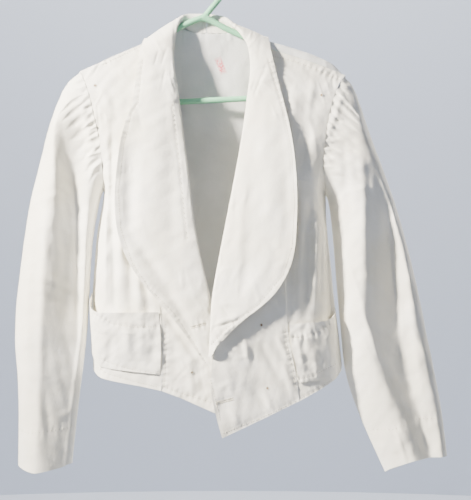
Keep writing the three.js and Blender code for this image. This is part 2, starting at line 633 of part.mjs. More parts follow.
function sleeveRing(rows, armhole, cuff, share, steps) {
  const side = Math.sign(rows[0].outer);
  const keyCount = steps.length;
  const behind = keyCount - UNDERARM;
  const ring = [];
  steps.forEach((count, span) => {
    for (let step = 0; step < count; step++) {
      const place = span + step / count;
      const start = place <= UNDERARM
        ? armholePoint(armhole, 'front', place / UNDERARM)
        : armholePoint(armhole, 'back', (keyCount - place) / behind);
      start.x += side * SEAM_GAP;
      const hem = mix(cuff[span], cuff[(span + 1) % keyCount], step / count);
      const z = mix(start.z, hem, share);
      const fromMiddle = place < UNDERARM
        ? Math.abs(1 - place / (UNDERARM / 2))
        : Math.abs((place - UNDERARM) / (behind / 2) - 1);
      const away = Math.min(1, (start.z - z) / mix(FREE_AFTER.edges, FREE_AFTER.crown, fromMiddle));
      const p = start.clone().lerp(sleevePoint(rows, z, place), Math.sqrt(1 - (1 - away) * (1 - away)));
      p.z = z;
      const isGathered = count === Math.max(...GATHER_STEPS) && share > 0;
      if (isGathered) p.y += Math.sign(p.y) * GATHER_DEPTH * Math.sin(Math.PI * step / 2 + 0.6);
      ring.push({ p, place });
    }
  });
  return ring;
}

// Triangles between two closed rings of different counts, always to the nearer next point.
function ringFaces(upper, lower, upperStart, lowerStart, flip) {
  const faces = [];
  let [i, j] = [0, 0];
  const placeAt = (ring, index) => (index < ring.length ? ring[index].place : SLEEVE_STEPS.length);
  while (i < upper.length || j < lower.length) {
    const [a, b] = [upperStart + (i % upper.length), lowerStart + (j % lower.length)];
    const upperFirst = i < upper.length && placeAt(upper, i + 1) <= placeAt(lower, j + 1);
    const goUpper = j >= lower.length || upperFirst;
    const next = goUpper ? upperStart + ((i + 1) % upper.length) : lowerStart + ((j + 1) % lower.length);
    faces.push(flip ? [a, b, next] : [a, next, b]);
    if (goUpper) i++;
    else j++;
  }
  return faces;
}

function addSleeve(name, rows, armhole, cuff, flip) {
  const rings = [
    ...GATHER_ROWS.map((share) => sleeveRing(rows, armhole, cuff, share, GATHER_STEPS)),
    ...SLEEVE_ROWS.map((share) => sleeveRing(rows, armhole, cuff, share, SLEEVE_STEPS)),
  ];
  const faces = [];
  let start = 0;
  for (let index = 0; index < rings.length - 1; index++) {
    const next = start + rings[index].length;
    faces.push(...ringFaces(rings[index], rings[index + 1], start, next, flip));
    start = next;
  }
  addPiece(name, wallGeometry(rings.flat().map(({ p }) => p), faces, CLOTH), WHITE, 0.9);
}

// Pockets: made from the side front's points, moved out. Mouth and bottom are heights at each end and
// in the middle; gape is how far the mouth stands away from the front.
const POCKET_LEFT = { mouth: [-545, -540, -522], bottom: [-632, -626, -611], gape: 9, bulge: 3 };
const POCKET_RIGHT = { mouth: [-527, -528, -500], bottom: [-620, -610, -592], gape: 11, bulge: 4 };
const POCKET_ROWS = 7;
const POCKET_COLUMNS = 9;
const POCKET_INSET = { princess: 0.08, side: 0.5 }; // columns of the front left free beside each seam

function rowAtHeight(grid, column, z) {
  let row = 0;
  while (row < grid.length - 2 && sample(grid, row + 1, column).z > z) row++;
  const [top, low] = [sample(grid, row, column).z, sample(grid, row + 1, column).z];
  return row + clamp((top - z) / (top - low), 0, 1);
}

function addPocket(name, grid, { mouth, bottom, gape, bulge }, flip) {
  const normals = gridNormals(grid, flip);
  const first = FRONT_ACROSS[0] + POCKET_INSET.princess;
  const last = grid[0].length - 1 - POCKET_INSET.side;
  const height = ([from, middle, to], share) =>
    (share < 0.5 ? mix(from, middle, 2 * share) : mix(middle, to, 2 * share - 1));
  const pocketPoint = (down, share) => {
    const column = mix(first, last, share);
    const z = mix(height(mouth, share), height(bottom, share), down);
    const at = rowAtHeight(grid, column, z);
    const normal = sample(normals, at, column).normalize();
    const stand = gape * (1 - down) * (1 - down) + bulge * Math.sin(Math.PI * down);
    const lift = CLOTH + POCKET_LIFT + Math.sin(Math.PI * share) * stand;
    return sample(grid, at, column).addScaledVector(normal, lift);
  };
  const pocket = Array.from({ length: POCKET_ROWS }, (_, row) =>
    Array.from({ length: POCKET_COLUMNS }, (__, column) =>
      pocketPoint(row / (POCKET_ROWS - 1), column / (POCKET_COLUMNS - 1))));
  addPiece(name, gridWall(pocket, CLOTH, flip), WHITE, 0.9);
}

const collarLeft = collarGrid(COLLAR_LEFT, 1);
const collarRight = collarGrid(COLLAR_RIGHT, -1);
const leftFront = foldGrid(frontGrid({
  rows: FRONT_LEFT, armhole: ARMHOLE_LEFT, collar: collarLeft, side: 1,
  seamAlong: SHOULDER_SEAM.left, neckX: [57, 58.5, 60], princessX: 80, turnX: 150,
}), FOLDS_LEFT, true);
const rightFront = foldGrid(frontGrid({
  rows: FRONT_RIGHT, armhole: ARMHOLE_RIGHT, collar: collarRight, side: -1,
  seamAlong: SHOULDER_SEAM.right, neckX: [-58, -62, -64.5], princessX: -86, turnX: -150,
}), FOLDS_RIGHT, false);
addPiece('back', gridWall(backGrid([leftFront[0], rightFront[0]]), CLOTH, false), INSIDE_WHITE, 0.9);
addFront('left', leftFront);
addFront('right', rightFront);
addPiece('collar_left', gridWall(collarLeft, COLLAR_CLOTH, true), WHITE, 0.9);
addPiece('collar_right', gridWall(collarRight, COLLAR_CLOTH, false), WHITE, 0.9);
addSleeve('sleeve_left', SLEEVE_LEFT, ARMHOLE_LEFT, CUFF_LEFT, false);
addSleeve('sleeve_right', SLEEVE_RIGHT, ARMHOLE_RIGHT, CUFF_RIGHT, true);
addPocket('pocket_left', leftFront, POCKET_LEFT, true);
addPocket('pocket_right', rightFront, POCKET_RIGHT, false);
await addHanger();

export default jacket;
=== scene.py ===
import math

import bmesh
import bpy
import numpy as np
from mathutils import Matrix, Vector
from mathutils.bvhtree import BVHTree


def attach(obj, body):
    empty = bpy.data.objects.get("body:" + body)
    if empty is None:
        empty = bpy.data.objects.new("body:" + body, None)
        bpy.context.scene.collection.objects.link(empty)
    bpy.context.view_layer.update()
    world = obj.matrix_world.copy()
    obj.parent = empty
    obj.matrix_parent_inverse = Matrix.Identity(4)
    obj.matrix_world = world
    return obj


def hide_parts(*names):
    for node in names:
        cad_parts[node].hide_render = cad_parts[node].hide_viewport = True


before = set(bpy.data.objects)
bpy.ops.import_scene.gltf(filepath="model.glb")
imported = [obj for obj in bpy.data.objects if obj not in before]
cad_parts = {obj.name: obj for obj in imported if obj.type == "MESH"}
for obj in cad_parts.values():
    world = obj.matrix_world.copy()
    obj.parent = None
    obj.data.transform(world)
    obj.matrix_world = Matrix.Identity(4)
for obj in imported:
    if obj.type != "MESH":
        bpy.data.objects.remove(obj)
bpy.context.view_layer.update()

# Back
# One piece of white cotton twill, cut from the neck to the hem and seen from inside between the lapels.
# It hangs behind the hanger, nearly smooth, gathered a little where it is sewn to the collar.
MM = 0.001
SAME_POINT = 0.003 * MM
WIDEST_RIM = 2.8 * MM
SHARP_TURN = 0.85


def cut_cloth(name, levels):
    """A smooth copy of a solid. The cut edges of cloth, where a narrow rim turns sharply, stay crisp."""
    cloth = bmesh.new()
    cloth.from_mesh(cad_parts[name].data)
    bmesh.ops.remove_doubles(cloth, verts=cloth.verts, dist=SAME_POINT)
    bmesh.ops.join_triangles(
        cloth, faces=cloth.faces, angle_face_threshold=0.7, angle_shape_threshold=1.2
    )
    crisp = cloth.edges.layers.float.new("crease_edge")
    for edge in cloth.edges:
        narrowest = min(side.calc_length() for face in edge.link_faces for side in face.edges)
        if edge.calc_face_angle(0) > SHARP_TURN and narrowest < WIDEST_RIM:
            edge[crisp] = 1
    mesh = bpy.data.meshes.new(name + "_cloth")
    cloth.to_mesh(mesh)
    cloth.free()
    piece = bpy.data.objects.new(name + "_cloth", mesh)
    bpy.context.scene.collection.objects.link(piece)
    smooth = piece.modifiers.new("smooth", "SUBSURF")
    smooth.levels = levels
    smooth.render_levels = levels
    bpy.ops.object.select_all(action="DESELECT")
    piece.select_set(True)
    bpy.context.view_layer.objects.active = piece
    bpy.ops.object.modifier_apply(modifier="smooth")
    bpy.ops.object.shade_smooth_by_angle(angle=math.radians(50))
    return piece


def read_points(piece):
    """The piece's points in millimetres, one row each."""
    points = np.empty(len(piece.data.vertices) * 3)
    piece.data.vertices.foreach_get("co", points)
    return points.reshape(-1, 3) / MM


def write_points(piece, points):
    """Puts the piece's points where the rows of millimetres say."""
    piece.data.vertices.foreach_set("co", (points * MM).ravel())
    piece.data.update()


HALF_BLEND = 9


def press_folds(piece, folds, behind=False, around=False):
    """Soft folds pressed into a piece, outwards where depth is positive and inwards where it isn't.

    Each row is a line from one place to another as seen from the front, then its half width and depth.
    On a tube only the front half moves, or the half behind, and the move dies out over the last 9 mm."""
    points = read_points(piece)
    lift = np.zeros(len(points))
    for from_x, from_z, to_x, to_z, width, depth in folds:
        way = np.array((to_x - from_x, to_z - from_z))
        length = np.hypot(*way)
        place = points[:, (0, 2)] - (from_x, from_z)
        down = place @ way / length**2
        across = (place[:, 0] * way[1] - place[:, 1] * way[0]) / length
        ends = np.sin(np.pi * np.clip(down, 0, 1)) ** 0.7
        lift += depth * ends * np.exp(-((across / width) ** 2))
    if around:
        side = points[:, 1] if behind else -points[:, 1]
        lift *= np.clip(side / HALF_BLEND, 0, 1)
    points[:, 1] += lift if behind else -lift
    write_points(piece, points)


WAVES = 18


def rumple(piece, seed, depth, size=26):
    """The small unevenness of washed cotton: broad and fine waves in many directions."""
    points = read_points(piece)
    chance = np.random.default_rng(seed)
    lift = np.zeros(len(points))
    for _ in range(WAVES):
        turn = chance.uniform(0, math.pi)
        wave = size * chance.uniform(0.5, 2.6)
        run = points[:, 0] * math.cos(turn) + points[:, 2] * math.sin(turn) + 0.6 * points[:, 1]
        lift += np.sin(2 * math.pi * run / wave + chance.uniform(0, 6.3)) * math.sqrt(wave / size)
    points[:, 1] -= lift * depth / 5
    write_points(piece, points)


CREASE_HALF_LENGTH = (7, 24)
CREASE_WIDTH = (1.7, 4.2)
CREASE_SPREAD = 38


def crinkle(piece, seed, count, depth, lean=0.0):
    """Short creases of washed and worn cotton, scattered over a piece. Lean turns them from upright."""
    points = read_points(piece)
    chance = np.random.default_rng(seed)
    rows = []
    for _ in range(count):
        x, _, z = points[chance.integers(len(points))]
        turn = math.radians(lean + chance.normal(0, CREASE_SPREAD))
        half = chance.uniform(*CREASE_HALF_LENGTH)
        across = half * math.sin(turn)
        up = half * math.cos(turn)
        width = chance.uniform(*CREASE_WIDTH)
        rows.append((x - across, z + up, x + across, z - up, width, depth * chance.choice((-1, 1, 0.6))))
    press_folds(piece, rows)


GROOVE_WIDTH = 1.8


def pucker(piece, path, pitch, depth, reach, groove=0.0):
    """Small waves across a line of sewing, dying out at `reach` from it, and a groove along it."""
    points = read_points(piece)
    path = np.array(path, float)
    best = np.full(len(points), 1e9)
    place = np.zeros(len(points))
    start = 0.0
    for one, other in zip(path[:-1], path[1:]):
        way = other - one
        length = np.hypot(*way)
        down = np.clip((points[:, (0, 2)] - one) @ way / length**2, 0, 1)
        off = points[:, (0, 2)] - one - down[:, None] * way
        distance = np.hypot(off[:, 0], off[:, 1])
        nearer = distance < best
        best[nearer] = distance[nearer]
        place[nearer] = start + (down * length)[nearer]
        start += length
    unevenness = 1.7 * np.sin(place / (2.3 * pitch))
    wave = np.sin(2 * np.pi * place / pitch + unevenness)
    lift = depth * wave * np.exp(-((best / reach) ** 2))
    lift -= groove * np.exp(-((best / GROOVE_WIDTH) ** 2))
    points[:, 1] -= lift
    write_points(piece, points)


def linear(hex_colour):
    """An sRGB hex colour as linear light with full alpha."""
    parts = [int(hex_colour[i:i + 2], 16) / 255 for i in (1, 3, 5)]
    return [c / 12.92 if c <= 0.04045 else ((c + 0.055) / 1.055) ** 2.4 for c in parts] + [1]


def add_node(tree, kind, links=(), **settings):
    """Adds a node, sets its sockets or properties by name, and links (socket, from node, output)."""
    node = tree.nodes.new(kind)
    for name, value in settings.items():
        label = name.replace("_", " ")
        if label in node.inputs:
            node.inputs[label].default_value = value
        else:
            setattr(node, name, value)
    for socket, source, output in links:
        tree.links.new(source.outputs[output], node.inputs[socket])
    return node


def cotton_twill(name, light, aged, thread=1.3):
    """Washed cotton drill, woven with a steep diagonal rib: dull, with a short nap.

    The rib is about 0.6 mm wide in such cloth and is drawn 1.3 mm wide here, so that it can show."""
    material = bpy.data.materials.new(name)
    material.use_nodes = True
    tree = material.node_tree
    tree.nodes.clear()
    place = add_node(tree, "ShaderNodeTexCoord")
    patches = add_node(tree, "ShaderNodeTexNoise", [("Vector", place, "Object")],
                       Scale=9, Detail=4, Roughness=0.62)
    shade = add_node(tree, "ShaderNodeValToRGB", [("Fac", patches, "Fac")])
    shade.color_ramp.elements[0].position = 0.38
    shade.color_ramp.elements[0].color = linear(aged)
    shade.color_ramp.elements[1].position = 0.66
    shade.color_ramp.elements[1].color = linear(light)
    turned = add_node(tree, "ShaderNodeMapping", [("Vector", place, "Object")],
                      Rotation=(0, math.radians(27), 0))
    rib = add_node(tree, "ShaderNodeTexWave", [("Vector", turned, "Vector")],
                   wave_type="BANDS", bands_direction="X",
                   Scale=math.tau / (20 * thread * MM), Distortion=1.2, Detail=1)
    slub = add_node(tree, "ShaderNodeTexNoise", [("Vector", place, "Object")], Scale=900, Detail=3)
    crumple = add_node(tree, "ShaderNodeTexNoise", [("Vector", place, "Object")],
                       Scale=55, Detail=5, Roughness=0.6)
    ribbed = add_node(tree, "ShaderNodeBump", [("Height", rib, "Fac")], Strength=0.12, Distance=0.0002)
    slubbed = add_node(tree, "ShaderNodeBump", [("Height", slub, "Fac"), ("Normal", ribbed, "Normal")],
                       Strength=0.15, Distance=0.0003)
    crumpled = add_node(tree, "ShaderNodeBump", [("Height", crumple, "Fac"), ("Normal", slubbed, "Normal")],
                        Strength=0.5, Distance=0.0022)
    cloth = add_node(tree, "ShaderNodeBsdfPrincipled",
                     [("Base Color", shade, "Color"), ("Normal", crumpled, "Normal")],
                     Roughness=0.88, IOR=1.5)
    cloth.name = "cloth"
    cloth.inputs["Specular IOR Level"].default_value = 0.25
    cloth.inputs["Sheen Weight"].default_value = 0.15
    cloth.inputs["Sheen Roughness"].default_value = 0.5
    add_node(tree, "ShaderNodeOutputMaterial", [("Surface", cloth, "BSDF")])
    return material


def finish_cloth(piece, node, material):
    """Gives a cloth piece its material, hides the solid it was made from and hangs it on the root."""
    piece.data.materials.clear()
    piece.data.materials.append(material)
    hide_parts(node)
    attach(piece, "root")


white_twill = cotton_twill("white_cotton_twill", "#f6f4ec", "#ece8da")
# A cooler, greyer copy of the white twill: painted shade for the inside of the jacket, which gets less
# light.
inside_twill_painted_shade = cotton_twill("cotton_twill_inside_painted_shade", "#e7e8e7", "#dcddda")


def stamp_mark(piece, material, centre, size, turn, colour):
    """A faded, blotched laundry mark without letters, only on the side that faces the wearer."""
    facing = piece.data.attributes.new("wearer_side", "FLOAT", "POINT")
    facing.data.foreach_set("value", [float(vertex.normal.y < 0) for vertex in piece.data.vertices])
    tree = material.node_tree
    cloth = tree.nodes["cloth"]
    plain = cloth.inputs["Base Color"].links[0].from_node
    place = add_node(tree, "ShaderNodeTexCoord")
    moved = add_node(tree, "ShaderNodeMapping", [("Vector", place, "Object")],
                     vector_type="TEXTURE", Location=(centre[0] * MM, 0, centre[1] * MM),
                     Rotation=(0, math.radians(turn), 0), Scale=(size[0] / 2 * MM, 1, size[1] / 2 * MM))
    sides = add_node(tree, "ShaderNodeSeparateXYZ", [("Vector", moved, "Vector")])
    across = add_node(tree, "ShaderNodeMath", [(0, sides, "X")], operation="ABSOLUTE")
    along = add_node(tree, "ShaderNodeMath", [(0, sides, "Z")], operation="ABSOLUTE")
    from_edge = add_node(tree, "ShaderNodeMath", [(0, across, "Value"), (1, along, "Value")],
                         operation="MAXIMUM")
    blot = add_node(tree, "ShaderNodeTexNoise", [("Vector", place, "Object")],
                    Scale=300, Detail=5, Roughness=0.75)
    worn = add_node(tree, "ShaderNodeMath", [(0, from_edge, "Value"), (1, blot, "Fac")], operation="ADD")
    inked = add_node(tree, "ShaderNodeMapRange", [("Value", worn, "Value")])
    inked.inputs["From Min"].default_value = 1.6
    inked.inputs["From Max"].default_value = 1.25
    inside = add_node(tree, "ShaderNodeAttribute", attribute_name="wearer_side")
    shown = add_node(tree, "ShaderNodeMath", [(0, inked, "Result"), (1, inside, "Fac")],
                     operation="MULTIPLY")
    patchy = add_node(tree, "ShaderNodeMapRange", [("Value", blot, "Fac")])
    patchy.inputs["From Min"].default_value = 0.42
    patchy.inputs["From Max"].default_value = 0.56
    patchy.inputs["To Min"].default_value = 0.25
    patchy.inputs["To Max"].default_value = 0.95
    faded = add_node(tree, "ShaderNodeMath", [(0, shown, "Value"), (1, patchy, "Result")],
                     operation="MULTIPLY")
    marked = add_node(tree, "ShaderNodeMix", data_type="RGBA")
    first_colour, second_colour, mixed_colour = 6, 7, 2
    tree.links.new(faded.outputs["Value"], marked.inputs["Factor"])
    tree.links.new(plain.outputs["Color"], marked.inputs[first_colour])
    marked.inputs[second_colour].default_value = linear(colour)
    tree.links.new(marked.outputs[mixed_colour], cloth.inputs["Base Color"])


back = cut_cloth("back", 2)
rumple(back, seed=3, depth=0.7, size=34)
pucker(back, [(-46, -105), (-20, -108), (4, -108), (30, -106)], 8.5, 0.9, 15)
press_folds(back, [
    (-21, -283, 39, -235, 2.6, 1.3),
    (-24, -120, -60, -330, 26, 2.5),
    (20, -130, 10, -420, 20, -2),
], behind=True)
press_folds(back, [
    (-118, -150, -138, -330, 9, 3.6),
    (-100, -160, -116, -300, 7, -2.4),
    (-88, -380, -96, -640, 11, 5.0),
    (-62, -400, -60, -640, 9, -3.6),
    (-34, -440, -28, -650, 10, 4.2),
    (4, -420, 8, -650, 10, -3.8),
    (38, -380, 46, -650, 12, 5.2),
    (80, -400, 84, -640, 10, -4.0),
    (112, -360, 120, -640, 9, 3.8),
    (124, -160, 142, -340, 8, 3.6),
    (108, -170, 122, -300, 7, -2.4),
    (-40, -130, -74, -330, 12, 2.6),
    (50, -140, 82, -340, 12, 2.6),
    (-158, -352, -70, -384, 5, 2.6),
    (-160, -380, -96, -420, 5, -2.0),
    (160, -360, 78, -392, 5, 2.6),
    (162, -392, 104, -424, 5, -2.0),
    (-150, -455, -100, -500, 5, 1.8),
    (150, -470, 110, -520, 5, 1.8),
], behind=True)
crinkle(back, seed=4, count=50, depth=0.9)
# The back is drawn in the greyer twill, as painted shade of the jacket's inside.
finish_cloth(back, "back", inside_twill_painted_shade)
stamp_mark(back, inside_twill_painted_shade, (11, -153), (11, 26), -22, "#dd6674")

# Fronts
# Each half is a centre front and a side front, joined by a long seam from the shoulder to the hem, which
# runs under the lapel. The left half laps over the right one. The folds are where the cloth hangs loose.
FRONT_FOLDS = {
    "front_side_right": [
        (-161, -300, -161, -520, 4.5, 3.2),
        (-150, -380, -146, -530, 4.0, -2.6),
        (-140, -240, -136, -520, 5.5, 3.0),
        (-124, -400, -122, -535, 4.5, -2.4),
        (-112, -430, -108, -535, 4.5, 2.6),
        (-98, -470, -96, -540, 3.5, -1.8),
        (-150, -205, -132, -330, 8, -2.2),
        (-172, -190, -150, -225, 6, 1.6),
        (-150, -300, -162, -345, 6, 1.8),
        (-151, -240, -151, -430, 5, -3.6),
        (-148, -400, -96, -505, 5, -3.4),
    ],
    "front_centre_right": [
        (-80, -520, -16, -606, 5, -3.0),
        (-88, -520, -84, -560, 5, 1.4),
        (-70, -590, -20, -600, 7, 1.0),
        (-60, -560, -52, -640, 9, -1.6),
        (-36, -590, -30, -655, 6, 1.4),
    ],
    "front_side_left": [
        (158, -375, 152, -530, 5, 3.4),
        (146, -350, 138, -540, 5, -2.8),
        (134, -330, 126, -545, 6, 2.8),
        (118, -470, 116, -545, 4, -1.8),
        (167, -395, 166, -505, 3.5, 2.0),
        (150, -200, 128, -330, 10, -2.4),
        (124, -180, 110, -300, 9, 1.8),
        (152, -170, 140, -260, 6, 1.6),
    ],
    "front_centre_left": [
        (44, -560, 58, -612, 4, 2.4),
        (70, -570, 100, -628, 6, -1.8),
        (94, -560, 114, -600, 4, 1.8),
        (20, -600, 36, -700, 6, 1.6),
        (48, -630, 92, -676, 7, -1.6),
        (74, -640, 90, -680, 4, 1.6),
        (8, -640, 24, -632, 3, 1.2),
        (20, -668, 40, -690, 3.5, 1.2),
        (104, -600, 120, -655, 4, 1.6),
    ],
}
FRONT_SEWING = {
    "front_side_right": [
        [(-166, -154), (-130, -137), (-99, -121)],
        [(-172, -612), (-158, -620), (-140, -625), (-113, -632), (-82, -639)],
    ],
    "front_centre_right": [
        [(-72, -639), (-45, -649), (-24, -655), (-2, -662)],
        [(-70, -546), (-70, -582), (-71, -614), (-73, -640)],
    ],
    "front_side_left": [
        [(86, -141), (122, -149), (153, -161), (176, -171), (196, -179)],
        [(132, -655), (158, -642), (180, -628)],
    ],
    "front_centre_left": [
        [(16, -706), (36, -698), (70, -685), (105, -669), (126, -659)],
        [(-4, -620), (0, -642), (6, -664), (12, -690)],
        [(107, -552), (109, -570), (113, -592), (119, -612), (124, -640)],
    ],
}
BUTTONHOLE_LEFT = [(5, -662), (31, -655)]


def deeper(folds, by):
    """The same folds with each depth multiplied."""
    return [(*line, by * depth) for *line, depth in folds]


fronts = {}
for order, (name, folds) in enumerate(FRONT_FOLDS.items()):
    front = cut_cloth(name, 3)
    rumple(front, seed=20 + order, depth=0.8)
    crinkle(front, seed=30 + order, count=46, depth=1.0)
    press_folds(front, deeper(folds, by=1.35))
    for path in FRONT_SEWING[name]:
        pucker(front, path, 8.5, 0.55, 5, groove=0.7)
    if name == "front_centre_left":
        pucker(front, BUTTONHOLE_LEFT, 9, 0.8, 6, groove=1.2)
    finish_cloth(front, name, white_twill)
    fronts[name] = front

# Collar
# Two layers of twill with a stiffer layer between, cut in two halves that meet at the centre back. Each
# stands at the neck, rolls over and falls as a wide lapel that is sewn to the front along its roll.
COLLAR_FOLDS = {
    "collar_right": [
        (-76, -180, -92, -420, 16, 2.4),
        (-110, -210, -122, -420, 9, -1.8),
        (-62, -270, -60, -460, 10, -1.5),
        (-90, -120, -96, -230, 10, 1.6),
        (-128, -420, -62, -500, 6, 1.4),
        (-110, -470, -40, -520, 5, -1.2),
        (-80, -505, -30, -560, 5, 1.2),
        (-30, -548, -12, -590, 4, 1.0),
        (-66, -150, -60, -260, 7, 1.2),
        (-127, -240, -124, -440, 11, -5.5),
        (-122, -410, -58, -508, 10, -5.5),
        (-70, -485, -22, -576, 8, -4.0),
    ],
    "collar_left": [
        (76, -166, 60, -208, 2.2, -1.6),
        (70, -200, 92, -420, 15, 2.2),
        (106, -250, 112, -430, 8, -1.6),
        (46, -300, 36, -480, 8, 1.4),
        (62, -400, 40, -520, 8, -1.3),
        (96, -440, 30, -520, 7, 1.2),
        (0, -550, 38, -538, 1.8, -2.6),
        (4, -544, 38, -532, 3.5, 1.4),
        (14, -560, 32, -545, 3.5, 1.8),
        (60, -480, 70, -515, 3, 0.9),
    ],
}


def inside_of(path, distance):
    """The same path moved sideways in the picture plane, to the left of its direction."""
    moved = []
    for index, (x, z) in enumerate(path):
        before = path[max(index - 1, 0)]
        after = path[min(index + 1, len(path) - 1)]
        way = Vector((after[0] - before[0], after[1] - before[1])).normalized()
        moved.append((x - way.y * distance, z + way.x * distance))
    return moved


COLLAR_EDGE = {
    "collar_right": [
        (-111, -150), (-117, -214), (-126, -228), (-138, -276), (-146, -348), (-142, -404), (-124, -456),
        (-98, -495), (-62, -531), (-33, -574), (-10, -612),
    ],
    "collar_left": [
        (88, -148), (98, -183), (110, -226), (122, -288), (126, -366), (122, -430), (108, -474), (70, -520),
        (26, -552), (0, -579),
    ],
}
COLLAR_TOPSTITCH = {
    "collar_right": inside_of(COLLAR_EDGE["collar_right"], 5),
    "collar_left": inside_of(COLLAR_EDGE["collar_left"], -5),
}
ROLL_STITCHES = [(-61, -218), (-50, -306), (-43, -380), (-38, -420)]
BUTTONHOLE_RIGHT = [(-32, -550), (-10, -544)]
collars = {}
for order, (name, folds) in enumerate(COLLAR_FOLDS.items()):
    collar = cut_cloth(name, 3)
    rumple(collar, seed=40 + order, depth=0.6, size=30)
    pucker(collar, COLLAR_EDGE[name], 9, 0.6, 6)
    pucker(collar, COLLAR_TOPSTITCH[name], 7, 0.2, 5, groove=0.8)
    crinkle(collar, seed=50 + order, count=75, depth=0.8, lean=-30 if order else 30)
    if name == "collar_right":
        pucker(collar, ROLL_STITCHES, 7, 0.6, 4, groove=0.7)
        pucker(collar, BUTTONHOLE_RIGHT, 9, 0.7, 6, groove=1.0)
    press_folds(collar, folds)
    finish_cloth(collar, name, white_twill)
    collars[name] = collar

# Sleeves
# A long tube of twill, gathered into the armhole and hemmed at the cuff. It hangs flattened, with a long
# fold down the front, a few short creases at the elbow and small puckers where it is gathered.
SLEEVE_FOLDS = {
    "sleeve_right": [
        (-247, -240, -262, -740, 7, 1.8),
        (-226, -260, -222, -560, 9, -2.0),
        (-208, -340, -203, -590, 4.0, -1.6),
        (-274, -330, -286, -700, 9, 1.8),
        (-200, -200, -176, -306, 6, 2.2),
        (-256, -360, -222, -350, 5, 1.2),
        (-262, -470, -210, -498, 5, 1.8),
        (-270, -500, -214, -520, 4, -1.2),
        (-214, -446, -188, -470, 4, 1.4),
        (-230, -620, -206, -640, 4, 1.2),
        (-236, -690, -212, -676, 4, 1.0),
        (-290, -600, -284, -750, 5, 1.2),
        (-250, -640, -246, -756, 8, -1.4),
    ],
    "sleeve_left": [
        (222, -215, 230, -560, 8, 2.0),
        (196, -260, 206, -420, 7, -1.8),
        (262, -330, 282, -610, 5, -2.2),
        (284, -390, 318, -690, 7, 1.8),
        (198, -189, 171, -270, 5, 2.0),
        (184, -400, 262, -640, 5, 2.0),
        (274, -706, 291, -757, 3.5, 1.8),
        (240, -300, 252, -440, 6, 1.4),
        (230, -470, 262, -500, 5, 1.4),
        (214, -500, 240, -560, 5, -1.4),
        (300, -560, 326, -600, 5, 1.2),
        (196, -350, 232, -340, 5, 1.2),
        (312, -690, 322, -745, 5, -1.2),
    ],
}
SLEEVE_FOLDS_BEHIND = {
    "sleeve_right": [
        (-236, -220, -252, -480, 12, 2.4),
        (-206, -300, -214, -560, 9, -2.0),
        (-280, -440, -208, -476, 7, 2.0),
        (-284, -520, -220, -500, 6, -1.4),
        (-262, -560, -266, -745, 10, 2.0),
    ],
    "sleeve_left": [
        (216, -220, 246, -470, 12, 2.4),
        (196, -300, 214, -520, 9, -2.0),
        (296, -460, 206, -490, 7, 2.0),
        (286, -540, 330, -735, 10, 2.0),
        (308, -520, 236, -540, 6, -1.4),
    ],
}
ARMHOLES = {
    "sleeve_right": [
        (-202, -164), (-196, -177), (-190, -192), (-182, -214), (-178, -234), (-172, -256), (-168, -285),
        (-166, -306),
    ],
    "sleeve_left": [
        (204, -176), (190, -190), (180, -206), (174, -226), (168, -267), (165, -288), (166, -314),
    ],
}
CUFF_HEMS = {
    "sleeve_right": [(-298, -704), (-280, -710), (-254, -708), (-212, -702)],
    "sleeve_left": [(236, -706), (270, -704), (304, -690), (342, -688)],
}


def walk(path, pitch):
    """Places along a path at an even pitch, each with the path's direction there."""
    path = [Vector((x, z)) for x, z in path]
    left = 0.0
    for one, other in zip(path[:-1], path[1:]):
        way = other - one
        length = way.length
        while left < length:
            yield one + way * (left / length), way / length
            left += pitch
        left -= length


GATHER_PITCH = 6.5
sleeves = {}
for order, (name, folds) in enumerate(SLEEVE_FOLDS.items()):
    sleeve = cut_cloth(name, 3)
    rumple(sleeve, seed=60 + order, depth=0.9, size=32)
    side = -1 if name == "sleeve_right" else 1
    chance = np.random.default_rng(70 + order)
    gathers = []
    for index, (place, _) in enumerate(walk(ARMHOLES[name], GATHER_PITCH)):
        reach = chance.uniform(8, 24)
        drop = reach * chance.uniform(0.2, 1.1)
        depth = chance.uniform(1.4, 2.8) * (-0.8 if index % 2 else 1)
        width = chance.uniform(2, 3.2)
        gathers.append((
            place.x - side, place.y + 1, place.x + side * reach, place.y - drop, width, depth
        ))
    press_folds(sleeve, deeper(folds, by=1.3) + gathers, around=True)
    behind = deeper(SLEEVE_FOLDS_BEHIND[name], by=1.5)
    press_folds(sleeve, behind + gathers, behind=True, around=True)
    pucker(sleeve, CUFF_HEMS[name], 9, 0.4, 5, groove=0.4)
    finish_cloth(sleeve, name, white_twill)
    sleeves[name] = sleeve

# Pockets
# Patches of the same twill, sewn into the seam in front, the side seam and along the bottom. Their wide
# hems stand away at the mouth, where hands have stretched them.
POCKET_FOLDS = {
    "pocket_right": [
        (-168, -520, -160, -560, 6, 1.2),
        (-128, -546, -124, -600, 7, 2.2),
        (-150, -560, -156, -610, 6, -1.4),
        (-104, -540, -108, -600, 5, 1.2),
        (-140, -556, -112, -560, 3, 0.8),
        (-84, -540, -92, -612, 6, -1.2),
    ],
    "pocket_left": [
        (124, -560, 136, -616, 5, 1.6),
        (138, -560, 152, -570, 4, 1.2),
        (150, -580, 156, -622, 6, 1.6),
        (128, -590, 150, -606, 5, -1.2),
        (168, -550, 176, -600, 5, 1.2),
    ],
}
POCKET_BANDS = {
    "pocket_right": [(-176, -530), (-150, -544), (-118, -549), (-76, -549)],
    "pocket_left": [(115, -565), (135, -564), (158, -556), (176, -545)],
}
POCKET_BOTTOMS = {
    "pocket_right": [(-166, -598), (-140, -608), (-108, -615), (-80, -618)],
    "pocket_left": [(124, -628), (152, -621), (170, -612), (184, -606)],
}
pockets = {}
